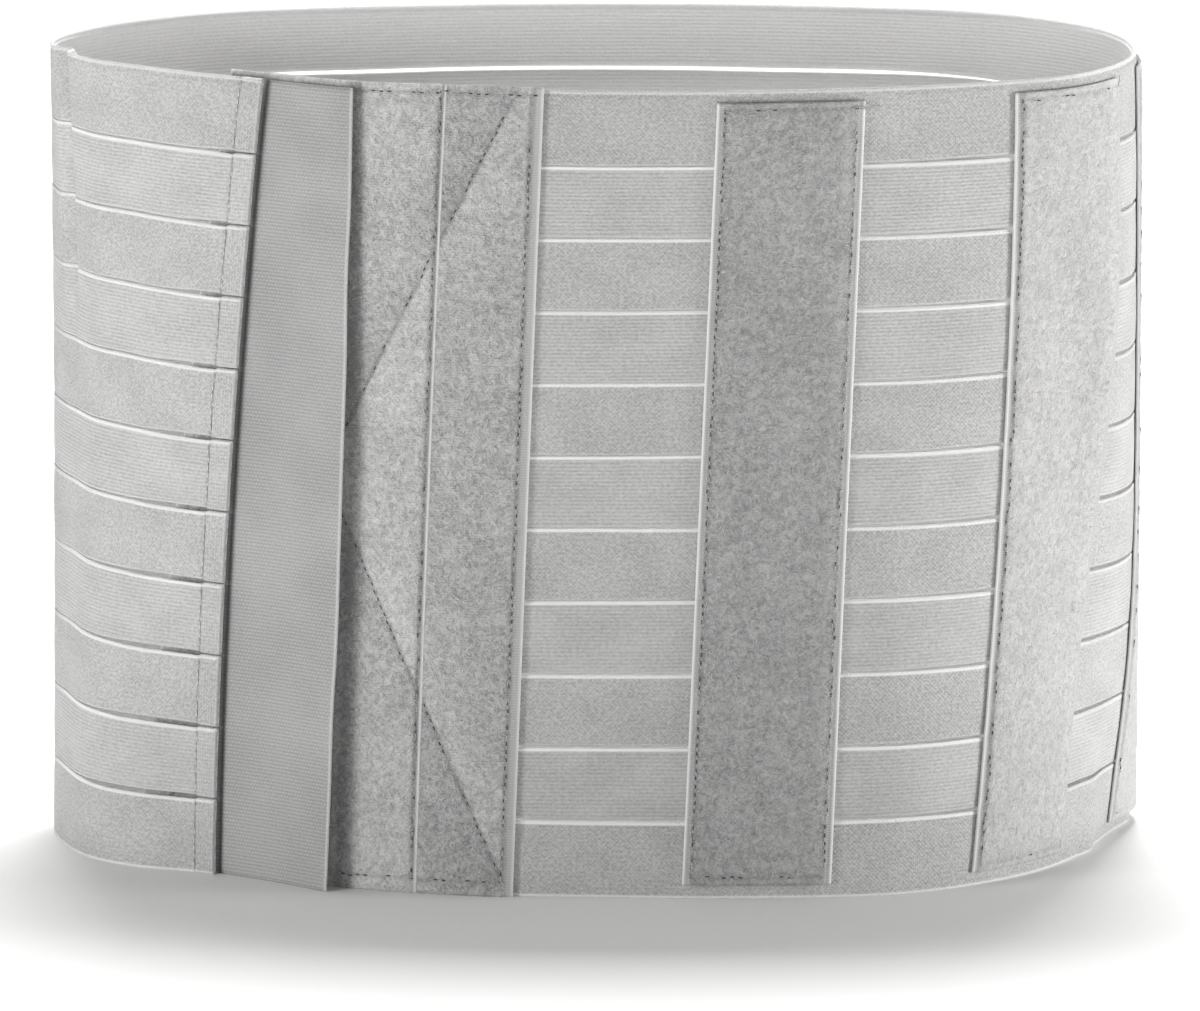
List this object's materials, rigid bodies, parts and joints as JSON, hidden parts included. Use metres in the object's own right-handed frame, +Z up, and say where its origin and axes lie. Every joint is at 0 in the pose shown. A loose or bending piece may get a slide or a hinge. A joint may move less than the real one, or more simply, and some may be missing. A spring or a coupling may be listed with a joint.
{
  "type": "abdominal binder",
  "caption": "Elastic abdominal binder of slit strips, standing as an oval ring, closed at the front by a hook tape on a loop panel.",
  "frame": {"origin": "middle of the foot: the centre of the bounding box in X and Y, at the lowest edge", "axes": "+Z up along the wearer's body, -Y towards the front closure, +X towards the right of the front view"},
  "size_m": [0.3762, 0.2106, 0.2786],
  "materials": {
    "elastic": "matt ribbed woven elastic",
    "loop_pile": "brushed loop pile with flat selvedges",
    "hook_tape": "smooth woven backing of hook tape"
  },
  "bodies": {
    "root": {"elastic_strip_01": "elastic", "elastic_strip_02": "elastic", "elastic_strip_03": "elastic", "elastic_strip_04": "elastic", "elastic_strip_05": "elastic", "elastic_strip_06": "elastic", "elastic_strip_07": "elastic", "elastic_strip_08": "elastic", "elastic_strip_09": "elastic", "elastic_strip_10": "elastic", "elastic_strip_11": "elastic", "loop_panel_edge_tape": "loop_pile", "loop_panel_wide_tape": "loop_pile", "hook_tape": "hook_tape", "loop_patch_1": "loop_pile", "loop_patch_2": "loop_pile", "loop_patch_3": "loop_pile"}
  },
  "joints": []
}
